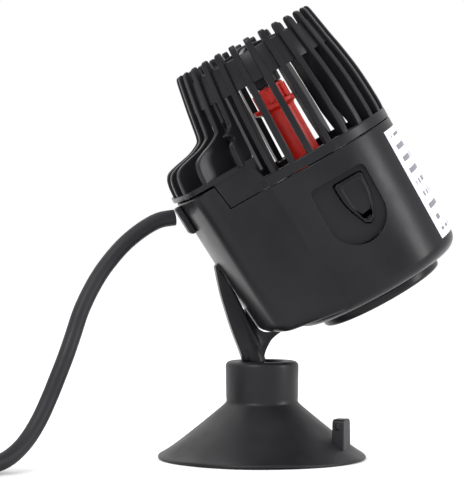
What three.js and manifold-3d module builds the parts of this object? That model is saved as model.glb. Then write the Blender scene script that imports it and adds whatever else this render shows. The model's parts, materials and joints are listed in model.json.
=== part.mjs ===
// Wave maker pump: a propeller inside a ribbed cage, driven by a potted synchronous motor, on a
// ball arm that sits in the rubber collar of a suction cup. Millimetres, +Z up.
//
// World frame: the suction cup's rim lies on z = 0 and the head leans towards -X. The near side
// is -Y. The origin is under the middle of the pump's box, measured without the mains lead.
//
// Head frame, called (u, v, w): w runs along the rotor towards the cage, u points away from the
// coil box, v is world Y, and the origin is the centre of the seam between housing and cage.

import * as THREE from "three";
import { mergeVertices } from "three/addons/utils/BufferGeometryUtils.js";
import Module from "manifold-3d";

const wasm = await Module();
wasm.setup();

const { degToRad } = THREE.MathUtils;
const GAP = 0.3; // clearance between neighbouring pieces
const COARSE = 24; // facets round a small turned piece
const FINE = 48; // facets round a large one

// Suction cup
const RIM_R = 32.6;
const RIM_LAND = 2.2; // flat ring that rests on the glass
const RIM_T = 1.5;
const COLLAR_R = 11.4;
const COLLAR_FOOT_Z = 17.3;
const COLLAR_TOP_Z = 30.3;
const MOUTH_R = 6.9;
const CAVITY_R = 9.4; // inside the collar, where the socket liner sits
const CAVITY_TOP_Z = 26.4;
const SKIRT_TOP_Z = 11.5; // top of the hollow under the skirt
const TAB_R = 26.3; // release tab, measured from the cup's axis
const TAB_TURN = degToRad(-32);

// Ball joint
const BALL_R = 6.5;
const BALL_Z = 23.5;
const NECK_R = 3.3;
const PIN_R = 2.2; // end of the arm inside the ball
const BALL_U = -46.8; // the ball's centre in the head frame
const BALL_W = -53.3;
const NECK_LEAN = degToRad(11.6); // neck against the rotor axis

// Head
const LEAN = degToRad(29.6);
const BODY_R = 28.8;
const BODY_WALL = 2.2;
const BODY_BOTTOM = -45.3;
const BODY_FILLET = 4.5;
const SEAM = GAP / 2; // half the seam gap
const CAP_R = 20.3;
const CAP_BOTTOM = -48.6;

// Coil box on the -u side of the housing
const BOX_APEX = -41.5; // left face at w = -3
const BOX_DRAFT = 0.055; // the left face leans in towards the rear
const BOX_FACE_R = 75;
const BOX_HALF = 22;
const BOX_CORNER_R = 5;
const BOX_ROOT = -8; // where the box ends inside the cylinder
const BOX_TOP = 8.2;
const BOX_SPLAY = degToRad(8); // the sides spread this much at the rear
const STEP_U = -31.5; // slanted step of the seam beside the box
const FLOOR_SLOPE = 0.229; // the box's rear face
const FLOOR_W = -40.5; // its height at u = FLOOR_U
const FLOOR_U = -37;

// Cage
const RIBS = 28;
const RIB_T = 1.7;
const RIM_TOP = 3.3; // base ring of the cage
const DUCT_LOW = 31;
const DUCT_TOP = 38.8;
const LEDGE_LOW = 8.7;
const LEDGE_TOP = 10.2;
const ROOF_HALF_TURN = degToRad(45.2); // the closed roof over the coil box
const HUB_R = 3;
const SPOKES = 5;

// Latch on both sides
const HOOK_HALF = 4.4;
const RECESS_HALF = 9.4;
const RECESS_TOP = -7;
const RECESS_BOTTOM = -29;
const RECESS_FLOOR = 26.2; // distance of the recess floor from the rotor axis
const BUTTON_OFFSET = 2.9;
const BUTTON_TOP = -9.2;

// Rotor stack
const SHAFT_R = 1;
const BORE_R = 1.3;
const WELL_R = 10.1;
const ROTOR_HUB_R = 5.2;
const CARRIER_TOP = 26.2;
const BLADES = 3;
const BLADE_R = 19.3;

// Mains lead
const CORD_R = 2.5;
const COIL_R = 27.5; // middle of the turns
const COIL_ROWS = 3;

// ---------- shape helpers ----------

// Welds shared vertices, drops collapsed triangles and turns the faces outwards.
function weld(geometry) {
  const bare = geometry.clone();
  bare.deleteAttribute("normal");
  bare.deleteAttribute("uv");
  const welded = mergeVertices(bare, 1e-4);
  const corner = [new THREE.Vector3(), new THREE.Vector3(), new THREE.Vector3()];
  const index = [];
  let volume = 0;
  for (let i = 0; i < welded.index.count; i += 3) {
    const [a, b, c] = [0, 1, 2].map((k) => welded.index.getX(i + k));
    if (a === b || b === c || c === a) continue;
    index.push(a, b, c);
    [a, b, c].forEach((v, k) => corner[k].fromBufferAttribute(welded.attributes.position, v));
    volume += corner[0].dot(corner[1].cross(corner[2]));
  }
  if (volume < 0) index.reverse();
  welded.setIndex(index);
  return welded;
}

function toSolid(geometry) {
  const welded = weld(geometry);
  const vertProperties = new Float32Array(welded.attributes.position.array);
  const triVerts = new Uint32Array(welded.index.array);
  return new wasm.Manifold(new wasm.Mesh({ numProp: 3, vertProperties, triVerts }));
}

function toGeometry(solid) {
  const { vertProperties, triVerts } = solid.getMesh();
  const geometry = new THREE.BufferGeometry();
  geometry.setAttribute("position", new THREE.BufferAttribute(vertProperties, 3));
  geometry.setIndex(new THREE.BufferAttribute(triVerts, 1));
  return geometry;
}

const join = (...parts) => toGeometry(parts.map(toSolid).reduce((all, part) => all.add(part)));
const cut = (base, ...tools) =>
  toGeometry(tools.map(toSolid).reduce((left, tool) => left.subtract(tool), toSolid(base)));
const common = (a, b) => toGeometry(toSolid(a).intersect(toSolid(b)));

// Points of a circular arc, both ends included.
function arc(x, y, radius, from, to, steps) {
  return Array.from({ length: steps + 1 }, (_, k) => {
    const turn = degToRad(from + ((to - from) * k) / steps);
    return [x + radius * Math.cos(turn), y + radius * Math.sin(turn)];
  });
}

// A profile of [radius, height] points turned about the z axis.
function turned(profile, facets = FINE) {
  const points = profile.map(([r, z]) => new THREE.Vector2(r, z));
  return new THREE.LatheGeometry(points, facets).rotateX(Math.PI / 2);
}

const ring = (profile, facets = FINE) => turned([...profile, profile[0]], facets);

// A tube with square ends, about the z axis.
const tube = (inner, outer, low, high, facets = COARSE) =>
  ring([[inner, low], [outer, low], [outer, high], [inner, high]], facets);

const rod = (radius, low, high, facets = COARSE) =>
  turned([[0, low], [radius, low], [radius, high], [0, high]], facets);

// An outline of [x, y] points extruded along z.
function plate(outline, low, high) {
  const shape = new THREE.Shape(outline.map(([x, y]) => new THREE.Vector2(x, y)));
  return new THREE.ExtrudeGeometry(shape, { depth: high - low, bevelEnabled: false }).translate(0, 0, low);
}

// An outline of [x, z] points extruded along y, the same distance to both sides.
const fin = (outline, half) => plate(outline, -half, half).rotateX(Math.PI / 2);

function block([x0, x1], [y0, y1], [z0, z1]) {
  const box = new THREE.BoxGeometry(x1 - x0, y1 - y0, z1 - z0);
  return box.translate((x0 + x1) / 2, (y0 + y1) / 2, (z0 + z1) / 2);
}

// Skins rings of [x, y, z] points, all with the same count, and closes both ends with fans.
function loft(sections) {
  const count = sections[0].length;
  const last = (sections.length - 1) * count;
  const positions = sections.flat();
  const middle = (points) => [0, 1, 2].map((k) => points.reduce((sum, p) => sum + p[k], 0) / count);
  positions.push(middle(sections[0]), middle(sections.at(-1)));
  const index = [];
  for (let i = 0; i < count; i++) {
    const next = (i + 1) % count;
    for (let row = 0; row < last; row += count)
      index.push(row + i, row + next, row + count + next, row + i, row + count + next, row + count + i);
    index.push(last + count, next, i, last + count + 1, last + i, last + next);
  }
  const geometry = new THREE.BufferGeometry();
  geometry.setAttribute("position", new THREE.Float32BufferAttribute(positions.flat(), 3));
  geometry.setIndex(index);
  return geometry;
}

const mirrored = (geometry) => weld(geometry.clone().scale(1, -1, 1));

// ---------- finishes ----------

function finish(color, roughness, metalness = 0) {
  return new THREE.MeshStandardMaterial({ color, roughness, metalness });
}

const BLACK_PLASTIC = finish("#2b2b2e", 0.38);
const BLACK_RUBBER = finish("#303136", 0.6);
const RED_PLASTIC = finish("#b01512", 0.35);
const WHITE_PLASTIC = finish("#d8d6cf", 0.45);
const LABEL = finish("#d9dbe4", 0.5);
const LEAD = finish("#3c3d42", 0.65);
const RESIN = finish("#1d1f24", 0.3);
const STEEL = finish("#8d9096", 0.35, 0.9);
const COPPER = finish("#b3693a", 0.35, 0.9);
const MAGNET = finish("#3a3a3d", 0.55, 0.2);
const CERAMIC = finish("#e6e3da", 0.25);
const BRASS = finish("#c9a24a", 0.3, 1);

function piece(name, geometry, material) {
  const shape = weld(geometry);
  shape.computeVertexNormals();
  const mesh = new THREE.Mesh(shape, material);
  mesh.name = name;
  return mesh;
}

// ---------- suction cup and ball joint ----------

function suctionCup() {
  const skin = 2.4; // thickness of the skirt, measured upright
  const body = ring([
    [RIM_R - RIM_LAND, 0],
    [RIM_R, 0],
    [RIM_R, RIM_T * 0.6],
    [RIM_R - 0.5, RIM_T],
    [COLLAR_R - 0.3, COLLAR_FOOT_Z],
    [COLLAR_R, COLLAR_TOP_Z - 1.5],
    [COLLAR_R - 0.5, COLLAR_TOP_Z - 0.4],
    [COLLAR_R - 1.5, COLLAR_TOP_Z],
    [MOUTH_R, COLLAR_TOP_Z],
    [MOUTH_R, CAVITY_TOP_Z],
    [CAVITY_R, CAVITY_TOP_Z],
    [CAVITY_R, SKIRT_TOP_Z + skin + 0.8],
    [0, SKIRT_TOP_Z + skin + 0.8],
    [0, SKIRT_TOP_Z],
    [8, SKIRT_TOP_Z - 0.8],
    [13, SKIRT_TOP_Z - 3],
  ]);
  const height = 13.4;
  const half = 3.4;
  const tab = fin([[-half, 2.5], [-half, height - 1.4], [0.4 - half, height - 0.4], [1.4 - half, height],
    [half - 1.4, height], [half - 0.4, height - 0.4], [half, height - 1.4], [half, 2.5], [0, 1.8]], 1.1);
  tab.rotateZ(Math.PI / 2).translate(TAB_R, 0, 0).rotateZ(TAB_TURN);
  return join(body, tab);
}

function socketLiner() {
  const low = 15;
  const bowl = arc(0, BALL_Z, BALL_R + GAP, -90, 20, 9);
  const outer = CAVITY_R - GAP;
  const top = CAVITY_TOP_Z - GAP;
  return turned(
    [...bowl, [bowl.at(-1)[0], top], [outer, top], [outer, low + 0.4], [outer - 0.4, low], [0, low]],
    32,
  );
}

function ball() {
  const bore = rod(PIN_R + GAP, -1.5, BALL_R + 1, 16);
  return cut(turned(arc(0, 0, BALL_R, -90, 90, 14), 28), bore);
}

// ---------- housing ----------

// Outline of the coil box at height w, pulled in by inset, from the near side round the left
// face to the far side.
function boxOutline(w, inset = 0) {
  const apex = BOX_APEX - BOX_DRAFT * (w + 3);
  const splay = (BOX_SPLAY * THREE.MathUtils.clamp(BOX_TOP - w, 0, 48)) / 48;
  const faceR = BOX_FACE_R - inset;
  const cornerR = BOX_CORNER_R - inset;
  const faceU = apex + BOX_FACE_R;
  const cornerV = BOX_HALF - BOX_CORNER_R;
  const cornerU = faceU - Math.sqrt((BOX_FACE_R - BOX_CORNER_R) ** 2 - cornerV ** 2);
  const join = Math.atan2(cornerV, faceU - cornerU);
  const corner = [0, 0.25, 0.5, 0.75, 1].map((k) => {
    const turn = THREE.MathUtils.lerp(Math.PI / 2 - splay, join, k);
    return [cornerU - cornerR * Math.cos(turn), cornerV + cornerR * Math.sin(turn)];
  });
  const face = [0.75, 0.5, 0.25, 0].map((k) => {
    return [faceU - faceR * Math.cos(join * k), faceR * Math.sin(join * k)];
  });
  const [sideU, sideV] = corner[0];
  const root = [BOX_ROOT, sideV + (BOX_ROOT - sideU) * Math.tan(splay)];
  const half = [root, ...corner, ...face];
  return [...half.map(([u, v]) => [u, -v]), ...half.slice(0, -1).reverse()];
}

// The rear face of the coil box: it slopes, and stops level with the cylinder's own end.
const boxFloor = (u) => Math.max(FLOOR_W - FLOOR_SLOPE * (u - FLOOR_U), BODY_BOTTOM);

function boxBody(top, inset, topRound, floorLift = 0) {
  const at = (w, grow) => boxOutline(w, inset + grow).map(([u, v]) => [u, v, w]);
  const rear = (lift, grow) =>
    boxOutline(FLOOR_W, inset + grow).map(([u, v]) => [u, v, boxFloor(u) + floorLift + lift]);
  return loft([at(top, topRound), at(top - topRound, 0), at(-10, 0), rear(3.5, 0), rear(1, 1), rear(0, 3.2)]);
}

function bodyCylinder(radius, low, high, fillet) {
  const corner = arc(radius - fillet, low + fillet, fillet, -90, 0, 4);
  return turned([[0, low], ...corner, [radius, high], [0, high]]);
}

// Everything on the cage side of the slanted step in the seam.
function cageSide(gap) {
  const slant = 1.5;
  return fin(
    [[STEP_U + gap, gap], [STEP_U - slant + gap, BOX_TOP + 1], [60, BOX_TOP + 1], [60, gap]],
    60,
  );
}

// U-shaped outline of the thumb recess, in (u, w).
function recessOutline() {
  const round = arc(0, RECESS_BOTTOM + RECESS_HALF, RECESS_HALF, 180, 360, 8);
  return [...round, [RECESS_HALF, RECESS_TOP - 1.5], [RECESS_HALF - 1.5, RECESS_TOP],
    [-RECESS_HALF + 1.5, RECESS_TOP], [-RECESS_HALF, RECESS_TOP - 1.5]];
}

// Shield outline of the release button, in (u, w), pulled in by inset.
function buttonOutline(inset = 0) {
  const half = 4.7 - inset;
  const low = BUTTON_TOP - 15 + inset;
  const top = BUTTON_TOP - inset;
  return [[-half, top - 0.6], [-half + 0.2, top - 5], [-half + 1.1, top - 9], [-1.6, low + 0.9], [0, low],
    [1.6, low + 0.9], [half - 1.1, top - 9], [half - 0.2, top - 5], [half, top - 0.6], [half - 0.6, top],
    [-half + 0.6, top]];
}

// Extrudes an outline in (u, w) from one distance in front of the axis to another, near side.
function nearSide(outline, from, to) {
  return plate(outline, from, to).rotateX(Math.PI / 2);
}

function housing() {
  const outer = cut(
    join(
      bodyCylinder(BODY_R, BODY_BOTTOM, -SEAM, BODY_FILLET),
      boxBody(BOX_TOP, 0, 0.8),
    ),
    cageSide(-SEAM),
  );
  const innerR = BODY_R - BODY_WALL;
  const roofWall = 2.4;
  const cylinderRoom = bodyCylinder(innerR, BODY_BOTTOM + 2.5, 5, 2.5);
  const boxRoom = cut(
    boxBody(BOX_TOP - roofWall, BODY_WALL, 0.5, 2.5),
    block([STEP_U - BODY_WALL, 20], [-60, 60], [-roofWall, 20]),
  );
  const bossOutline = recessOutline().map(([u, w]) => [u * 1.22, w * 1.03 + 1]);
  const bossBlock = nearSide(bossOutline, RECESS_FLOOR - 2, BODY_R - 1);
  const boss = common(bossBlock, bodyCylinder(BODY_R - 1, -40, -SEAM, 0.5));
  const pocket = nearSide(recessOutline(), RECESS_FLOOR, BODY_R + 5);
  const slot = nearSide(buttonOutline(-0.5).map(([u, w]) => [u + BUTTON_OFFSET, w]), 18, BODY_R + 5);
  const glandHole = block([BOX_APEX - 3, BOX_APEX + 4], [-2.3, 2.3], [1.5, 6.3]);
  const shell = cut(outer, cylinderRoom, boxRoom, glandHole);
  return cut(join(shell, boss, mirrored(boss)), pocket, slot, mirrored(pocket), mirrored(slot));
}

function rearCap() {
  const top = BODY_BOTTOM - GAP;
  const edge = (top - CAP_BOTTOM) / 2;
  return turned([[0, CAP_BOTTOM], ...arc(CAP_R - edge, CAP_BOTTOM + edge, edge, -90, 90, 6), [0, top]]);
}

function releaseButton() {
  const face = nearSide(buttonOutline(), RECESS_FLOOR - 2.6, RECESS_FLOOR + 1.1);
  const pad = nearSide(buttonOutline(1.1), RECESS_FLOOR, RECESS_FLOOR + 1.5);
  const flange = nearSide(buttonOutline(-0.9), RECESS_FLOOR - 3.3, RECESS_FLOOR - 2 - GAP);
  return join(face, pad, flange).translate(BUTTON_OFFSET, 0, 0);
}

// Thin printed label wrapped on the side away from the coil box.
function ratingLabel() {
  const inner = BODY_R + GAP;
  const half = 42.5;
  const outline = [...arc(0, 0, inner, -half, half, 12), ...arc(0, 0, inner + 0.35, half, -half, 12)];
  return plate(outline, -40.2, -3.1);
}

// ---------- motor ----------

function motorCover() {
  const top = -1.5;
  const wall = 1.5;
  const flange = 2;
  const floor = -34.5;
  const profile = [[0, floor], [WELL_R - 0.5, floor], [WELL_R, floor + 0.5], [WELL_R, top - flange],
    [BODY_R - BODY_WALL - GAP, top - flange], [BODY_R - BODY_WALL - GAP, top], [WELL_R - wall, top],
    [WELL_R - wall, floor + wall], [0, floor + wall]];
  const notch = block([-HOOK_HALF - 1, HOOK_HALF + 1], [-40, -18.6], [-10, 2]);
  return cut(turned(profile), notch, mirrored(notch));
}

const CORE = { low: -30, high: -14, yoke: -35, reach: 11, inner: 8, outer: 14.5, back: 7 };

function statorCore() {
  const { low, high, yoke, reach, inner, outer, back } = CORE;
  const shape = plate(
    [[yoke, -outer], [reach, -outer], [reach, -inner], [yoke + back, -inner], [yoke + back, inner],
      [reach, inner], [reach, outer], [yoke, outer]],
    low,
    high,
  );
  return cut(shape, rod(WELL_R + GAP, low - 1, high + 1, 32));
}

const SPOOL = { left: -26.6, right: -12.2, cheek: 1, wall: 1, depth: 3 };

// A rectangular tube round one leg of the core, grown by `from` and `to` millimetres.
function aroundLeg(left, right, from, to) {
  const shell = (grow, a, b) =>
    block([a, b], [CORE.inner - grow, CORE.outer + grow], [CORE.low - grow, CORE.high + grow]);
  return cut(shell(to, left, right), shell(from, left - 1, right + 1));
}

function bobbin() {
  const { left, right, cheek, wall, depth } = SPOOL;
  const barrel = aroundLeg(left, right, GAP, GAP + wall);
  const cheeks = [[left, left + cheek], [right - cheek, right]].map(([a, b]) =>
    aroundLeg(a, b, GAP + wall / 2, GAP + wall + depth));
  return join(barrel, ...cheeks);
}

function winding() {
  const { left, right, cheek, wall, depth } = SPOOL;
  return aroundLeg(left + cheek + GAP, right - cheek - GAP, 2 * GAP + wall, wall + depth - GAP);
}

// Cast resin under the core, filling the rear of the housing.
function pottingResin() {
  const low = -41.5;
  const high = -36;
  const round = rod(BODY_R - BODY_WALL - 1.6, low, high, 32);
  const outline = boxOutline(FLOOR_W, BODY_WALL + 1.4).map(([u, v]) => [Math.max(u, -34), v * 0.92]);
  const boxPart = plate(outline, low + 4, high);
  return join(round, boxPart);
}

// ---------- rotor, propeller and shaft ----------

function rotorCarrier() {
  const flangeR = 7.6;
  return ring(
    [[BORE_R, -28.6], [2.7, -28.6], [2.7, -8.4], [ROTOR_HUB_R, -8.4], [ROTOR_HUB_R, 19.4],
      [flangeR, 19.6], [flangeR, 20.9], [ROTOR_HUB_R, 20.9], [ROTOR_HUB_R, CARRIER_TOP],
      [BORE_R, CARRIER_TOP]],
    COARSE,
  );
}

// One blade: a twisted plate from the hub to the tip, as sections at growing radius.
function blade() {
  const stations = [[3.5, 48, 5.6], [8, 42, 6.6], [13, 36, 7.6], [16.9, 31, 8], [BLADE_R, 28, 6.6]];
  const thickness = 1.1;
  const level = 33;
  const sections = stations.map(([radius, pitch, half]) => {
    const turn = degToRad(pitch);
    const along = [Math.cos(turn) * half * 0.62, Math.sin(turn) * half * 0.62];
    const across = [-Math.sin(turn) * thickness, Math.cos(turn) * thickness];
    const spots = [[-1, 0], [-0.4, -0.5], [0.5, -0.5], [1, 0], [0.5, 0.5], [-0.4, 0.5]];
    return spots.map(([a, b]) => [
      Math.sqrt(Math.max(radius ** 2 - (along[0] * a) ** 2, 1)),
      along[0] * a + across[0] * b,
      level + along[1] * a + across[1] * b,
    ]);
  });
  return loft(sections);
}

function propeller() {
  const nose = arc(ROTOR_HUB_R - 1.2, 34.8, 1.2, 0, 90, 3);
  const low = CARRIER_TOP + GAP;
  const hub = ring([[BORE_R, low], [ROTOR_HUB_R + 0.2, low], ...nose, [BORE_R, 36]], COARSE);
  const blades = Array.from({ length: BLADES }, (_, k) => blade().rotateZ((2 * Math.PI * k) / BLADES + 0.5));
  return cut(join(hub, ...blades), rod(BORE_R, 20, 40, COARSE));
}

// ---------- cage ----------

// Distance from the rotor axis to the coil box's outline, in a direction given in radians
// from the -u axis.
function boxReach(turn, w) {
  const [du, dv] = [-Math.cos(turn), -Math.sin(turn)];
  const outline = boxOutline(w);
  for (let i = 1; i < outline.length; i++) {
    const [[u0, v0], [u1, v1]] = [outline[i - 1], outline[i]];
    const det = du * (v1 - v0) - dv * (u1 - u0);
    const along = (du * -v0 - dv * -u0) / det;
    const reach = (u0 * (v1 - v0) - v0 * (u1 - u0)) / det;
    if (along >= -1e-9 && along <= 1 + 1e-9 && reach > 0) return reach;
  }
  return BODY_R;
}

// Outer edge of a rib over the coil box: down the cage, out along the roof and down to the ledge.
function roofEdge(reach, inset = 0) {
  const out = reach - inset;
  return [[26.9 - inset, 23.4 - inset], [28, 21.8 - inset], [30, 20.8 - inset], [out - 3.6, 18 - inset],
    [out - 1.4, 16.4 - inset], [out - 0.4, 13.8 - inset], [out, LEDGE_LOW + 0.6]];
}

function rib(turn) {
  const fromBox = Math.abs(Math.atan2(Math.sin(turn - Math.PI), Math.cos(turn - Math.PI)));
  const tip = [[25.6, 31.6], [23.9, 40.6], [23.3, 42.1], [22.5, 42.4], [21.8, 41.6], [22, DUCT_TOP - 0.6]];
  const inside = [[23.6, DUCT_LOW], [25.2, 12], [26.2, 1]];
  let edge = [[27.8, 1], [BODY_R, 4], [28.7, 9], [28, 17.5], [26.6, 25.2]];
  if (fromBox < ROOF_HALF_TURN)
    edge = [[26.2, LEDGE_LOW + 0.6], ...roofEdge(Math.max(boxReach(fromBox, 10), BODY_R + 4)).reverse()];
  const bottom = fromBox < ROOF_HALF_TURN ? inside.slice(0, 2) : inside;
  return fin([...edge, ...tip, ...bottom], RIB_T / 2).rotateZ(turn);
}

// Closed roof and walls over the coil box, with the ledge that covers the housing's shoulder.
function roof() {
  const directions = Array.from({ length: 15 }, (_, k) => ROOF_HALF_TURN * (k / 7 - 1));
  const skin = 1.4;
  const inset = 1.1;
  const section = (turn) => {
    const reach = Math.max(boxReach(Math.abs(turn), 10), BODY_R + 4);
    const outside = roofEdge(reach, inset);
    const inside = roofEdge(reach, inset + skin).map(([r, w]) => [Math.min(r, reach - inset - skin), w]);
    const loop = [...outside, ...inside.reverse()];
    return loop.map(([r, w]) => [-r * Math.cos(turn), -r * Math.sin(turn), w]);
  };
  const walls = sweep(directions.map(section));
  const overhang = 0.6;
  const ledge = cut(
    plate(boxOutline(LEDGE_TOP, -overhang), LEDGE_LOW, LEDGE_TOP),
    rod(BODY_R - 2.6, 0, 20, FINE),
    block([-20, 60], [-60, 60], [0, 20]),
  );
  return join(walls, ledge);
}

// Skins a row of closed sections whose outlines are not star-shaped, capping both ends.
function sweep(sections) {
  const count = sections[0].length;
  const positions = sections.flat();
  const index = [];
  for (let row = 0; row + 1 < sections.length; row++)
    for (let i = 0; i < count; i++) {
      const [a, b] = [row * count + i, row * count + ((i + 1) % count)];
      index.push(a, b, b + count, a, b + count, a + count);
    }
  // the sections are strips with as many points outside as inside, so the caps are ladders
  const last = (sections.length - 1) * count;
  for (let i = 0; i + 1 < count / 2; i++) {
    const [a, b, c, d] = [i, i + 1, count - 2 - i, count - 1 - i];
    index.push(b, a, d, b, d, c);
    index.push(last + a, last + b, last + d, last + b, last + c, last + d);
  }
  const geometry = new THREE.BufferGeometry();
  geometry.setAttribute("position", new THREE.Float32BufferAttribute(positions.flat(), 3));
  geometry.setIndex(index);
  return geometry;
}

// Skirt of the cage beside the step of the seam, closing the corners between ring and box.
function skirt() {
  const outline = plate(boxOutline(4), SEAM, LEDGE_TOP);
  const bodySide = block([-18, 60], [-60, 60], [-5, 20]);
  return cut(common(outline, cageSide(SEAM)), rod(BODY_R - 2.6, -5, 20, FINE), bodySide);
}

function hub() {
  const low = 37.6;
  const cup = ring(
    [[2.2, low], [HUB_R, low], [HUB_R, 40.2], [HUB_R - 0.8, 41], [0, 41], [0, 40.1], [2.2, 40.1]],
    COARSE,
  );
  const spokes = Array.from({ length: SPOKES }, (_, k) => {
    const bar = fin([[2.5, 38.4], [2.5, 40.4], [22.6, 38.4], [22.9, 36.9]], 0.8);
    return bar.rotateZ((2 * Math.PI * (k + 0.5)) / SPOKES);
  });
  return join(cup, ...spokes);
}

// Springy hook that passes the motor cover and catches the housing behind a release button.
function hook() {
  const reach = RECESS_FLOOR - 5.3;
  return fin([[reach - 1.4, -16], [reach, -16], [reach, 1.5], [BODY_R - 2, 1.5], [BODY_R - 2, 3],
    [reach - 1.4, 3]], HOOK_HALF).rotateZ(-Math.PI / 2);
}

function cage() {
  const base = ring([[BODY_R - 2.6, SEAM], [BODY_R, SEAM], [BODY_R, RIM_TOP - 0.4], [BODY_R - 0.4, RIM_TOP],
    [BODY_R - 2.6, RIM_TOP]]);
  const duct = ring([[23.5, DUCT_LOW], [24.9, DUCT_LOW], [23.5, DUCT_TOP], [21.9, DUCT_TOP]]);
  const ribs = Array.from({ length: RIBS }, (_, k) => rib((2 * Math.PI * (k + 0.5)) / RIBS + Math.PI / 2));
  return join(base, duct, roof(), skirt(), hub(), hook(), mirrored(hook()), ...ribs);
}

// ---------- arm ----------

function ballArm() {
  // beam down the left edge, from its tip on the box to the neck
  const beam = fin(
    [[-41.9, -14], [-44.3, -21.4], [-45.6, -26.7], [-47.1, -33.8], [-48.3, -41.5], [-48.5, -44.2],
      [-42.2, -45.5], [-41.3, -41], [-41, -34]],
    2.6,
  );
  const web = fin(
    [[-44, -46.4], [-42.4, -46.4], [-41.2, -45.2], [-39.7, -44.1], [-37.2, -42.8], [-33, -42.2],
      [-33.5, -41.5], [-37.5, -40.5], [-39.6, -38], [-40.6, -34], [-42.5, -36]],
    1.9,
  );
  const ballRoom = turned(arc(0, 0, BALL_R + GAP, -90, 90, 14), 28);
  const neck = cut(rod(NECK_R, 3, 13, COARSE), ballRoom);
  const stem = join(neck, rod(PIN_R, -0.9, BALL_R + 2, 16)).rotateY(NECK_LEAN).translate(BALL_U, 0, BALL_W);
  const clearance = boxBody(BOX_TOP, -0.4, 0.8, -0.4);
  return cut(join(beam, web, stem), clearance);
}

// ---------- mains lead ----------

// Strain relief: a tongue on the box's left face with a stem through its wall.
function cordGland() {
  const face = (w) => BOX_APEX - BOX_DRAFT * (w + 3);
  const tongue = fin([[face(7) - GAP, 7.4], [face(7) - 2, 7.4], [face(-1) - 2.1, -1.2],
    [face(-2) - 1.4, -2.2], [face(-2) - GAP, -2.2]], 2.6);
  const stem = block([face(4) - 1, face(4) + 3.6], [-2, 2], [1.8, 5.4]);
  return join(tongue, stem);
}

// The lead drops to the floor and ends in a coil, tied and with its plug lying on it, to the left
// of the pump. The route is in the world frame. The lead meets the coil along a tangent.
const ROUTE = [[-41.3, 0, 75], [-46.4, -0.6, 74], [-52.1, -1.8, 70.8], [-58, -3.5, 65.9],
  [-63.5, -5.6, 59.5], [-67.6, -7.8, 53.2], [-71, -10, 46.3], [-73.4, -12, 39.5], [-75.8, -14, 33],
  [-78.3, -16, 27], [-81, -18.2, 20.8], [-84.2, -20.8, 14.4], [-88.2, -23.8, 8.6], [-92.8, -27, 4.6],
  [-97.6, -30, 2.8], [-103, -33.1, 2.5]];
const COIL_X = -135;
const COIL_Y = -14;
const COIL_BAND = COIL_ROWS * CORD_R; // half the width of the wound section, and half its height
const LAST_BEND_R = 20; // bend that brings the end of the lead in over the coil
const PLUG_HALF_T = 6.7;
const PIN_SPREAD = 9.3;

function leadTube() {
  const curve = new THREE.CatmullRomCurve3(ROUTE.map((p) => new THREE.Vector3(...p)), false, "centripetal");
  const outline = arc(0, 0, CORD_R, 0, 315, 7);
  const shape = new THREE.Shape(outline.map(([x, y]) => new THREE.Vector2(x, y)));
  return new THREE.ExtrudeGeometry(shape, { steps: 26, extrudePath: curve, bevelEnabled: false });
}

const leadCoil = () => tube(COIL_R - COIL_BAND, COIL_R + COIL_BAND, 0, 2 * COIL_BAND, 32);

// A strap over the wound turns, open on the floor.
function coilTie() {
  const room = 0.5;
  const strap = 0.8;
  const half = COIL_BAND + room;
  const top = 2 * COIL_BAND + room;
  const outer = block([COIL_R - half - strap, COIL_R + half + strap], [-2, 2], [0, top + strap]);
  return cut(outer, block([COIL_R - half, COIL_R + half], [-5, 5], [-1, top]));
}

// Flat two-pin plug with its strain relief, lying along +y from its cable end.
function plugBody() {
  const oval = (halfX, halfZ, y) =>
    arc(0, 0, 1, 0, 337.5, 15).map(([x, z]) => {
      const round = (value) => Math.sign(value) * Math.abs(value) ** 0.6;
      return [round(x) * halfX, y, round(z) * halfZ];
    });
  const body = loft([oval(3.2, 3.2, 0), oval(4.6, 4.4, 19), oval(9, 6, 22), oval(14, 6.6, 29),
    oval(16.4, PLUG_HALF_T, 38), oval(16.4, PLUG_HALF_T, 45), oval(15.6, 6, 46)]);
  const bore = rod(2.3, 0, 10, 16).rotateX(-Math.PI / 2).translate(0, 39, 0);
  return cut(body, bore.clone().translate(PIN_SPREAD, 0, 0), bore.clone().translate(-PIN_SPREAD, 0, 0));
}

function plugPin(side) {
  const pin = turned([[0, 39.3], [2, 39.3], [2, 64], [1.2, 65], [0, 65]], 16);
  return pin.rotateX(-Math.PI / 2).translate(side * PIN_SPREAD, 0, 0);
}

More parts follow.
